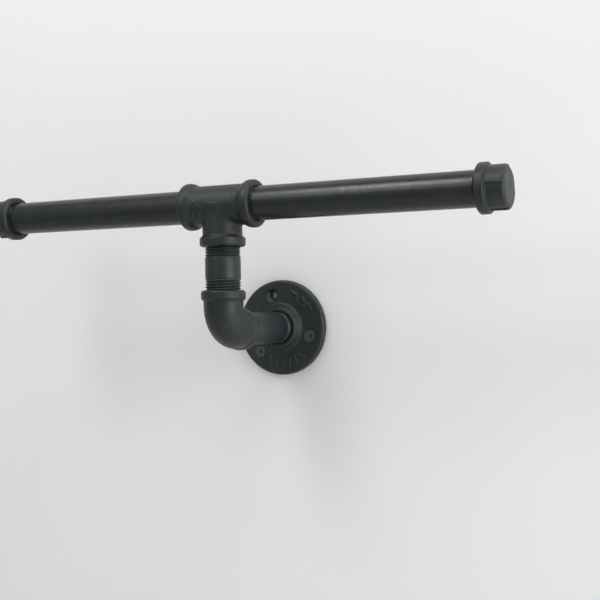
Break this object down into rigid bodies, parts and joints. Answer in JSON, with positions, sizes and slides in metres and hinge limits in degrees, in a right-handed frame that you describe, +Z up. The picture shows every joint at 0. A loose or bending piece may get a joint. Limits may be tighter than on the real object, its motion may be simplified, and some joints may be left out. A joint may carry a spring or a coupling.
{
  "type": "toilet paper holder",
  "caption": "Wall-mounted double toilet paper holder made of black threaded iron pipe: a flange, an elbow and a riser carry a tee with a capped arm on each side.",
  "frame": {"origin": "centre of the flange's back face, on the wall", "axes": "+X along the bar to the right as seen from the room, +Y into the wall, +Z up"},
  "size_m": [0.3656, 0.1161, 0.1255],
  "materials": {
    "flange_casting": "satin black coating over a slightly rough casting",
    "fitting_casting": "satin black coating over a slightly rough casting",
    "nipple_pipe": "satin black coating on steel pipe with cut threads",
    "arm_pipe": "smooth satin black coating on steel pipe",
    "screw_steel": "blackened steel, slightly worn on the head"
  },
  "bodies": {
    "wall_mount": {"wall_flange": "flange_casting", "flange_screw_lower": "screw_steel", "flange_screw_right": "screw_steel", "wall_nipple": "nipple_pipe"},
    "riser": {"elbow": "fitting_casting", "riser_nipple": "nipple_pipe"},
    "bar": {"tee": "fitting_casting", "left_arm": "arm_pipe", "right_arm": "arm_pipe", "left_cap": "fitting_casting", "right_cap": "fitting_casting"}
  },
  "joints": [
    {"name": "riser_turn", "type": "hinge", "parent": "wall_mount", "child": "riser", "pos_m": [0, -0.0606, 0], "axis": [0, 1, 0], "range_deg": [-30, 30]},
    {"name": "bar_swing", "type": "hinge", "parent": "riser", "child": "bar", "pos_m": [0, -0.081, 0.058], "axis": [0, 0, 1], "range_deg": [-20, 20]}
  ]
}
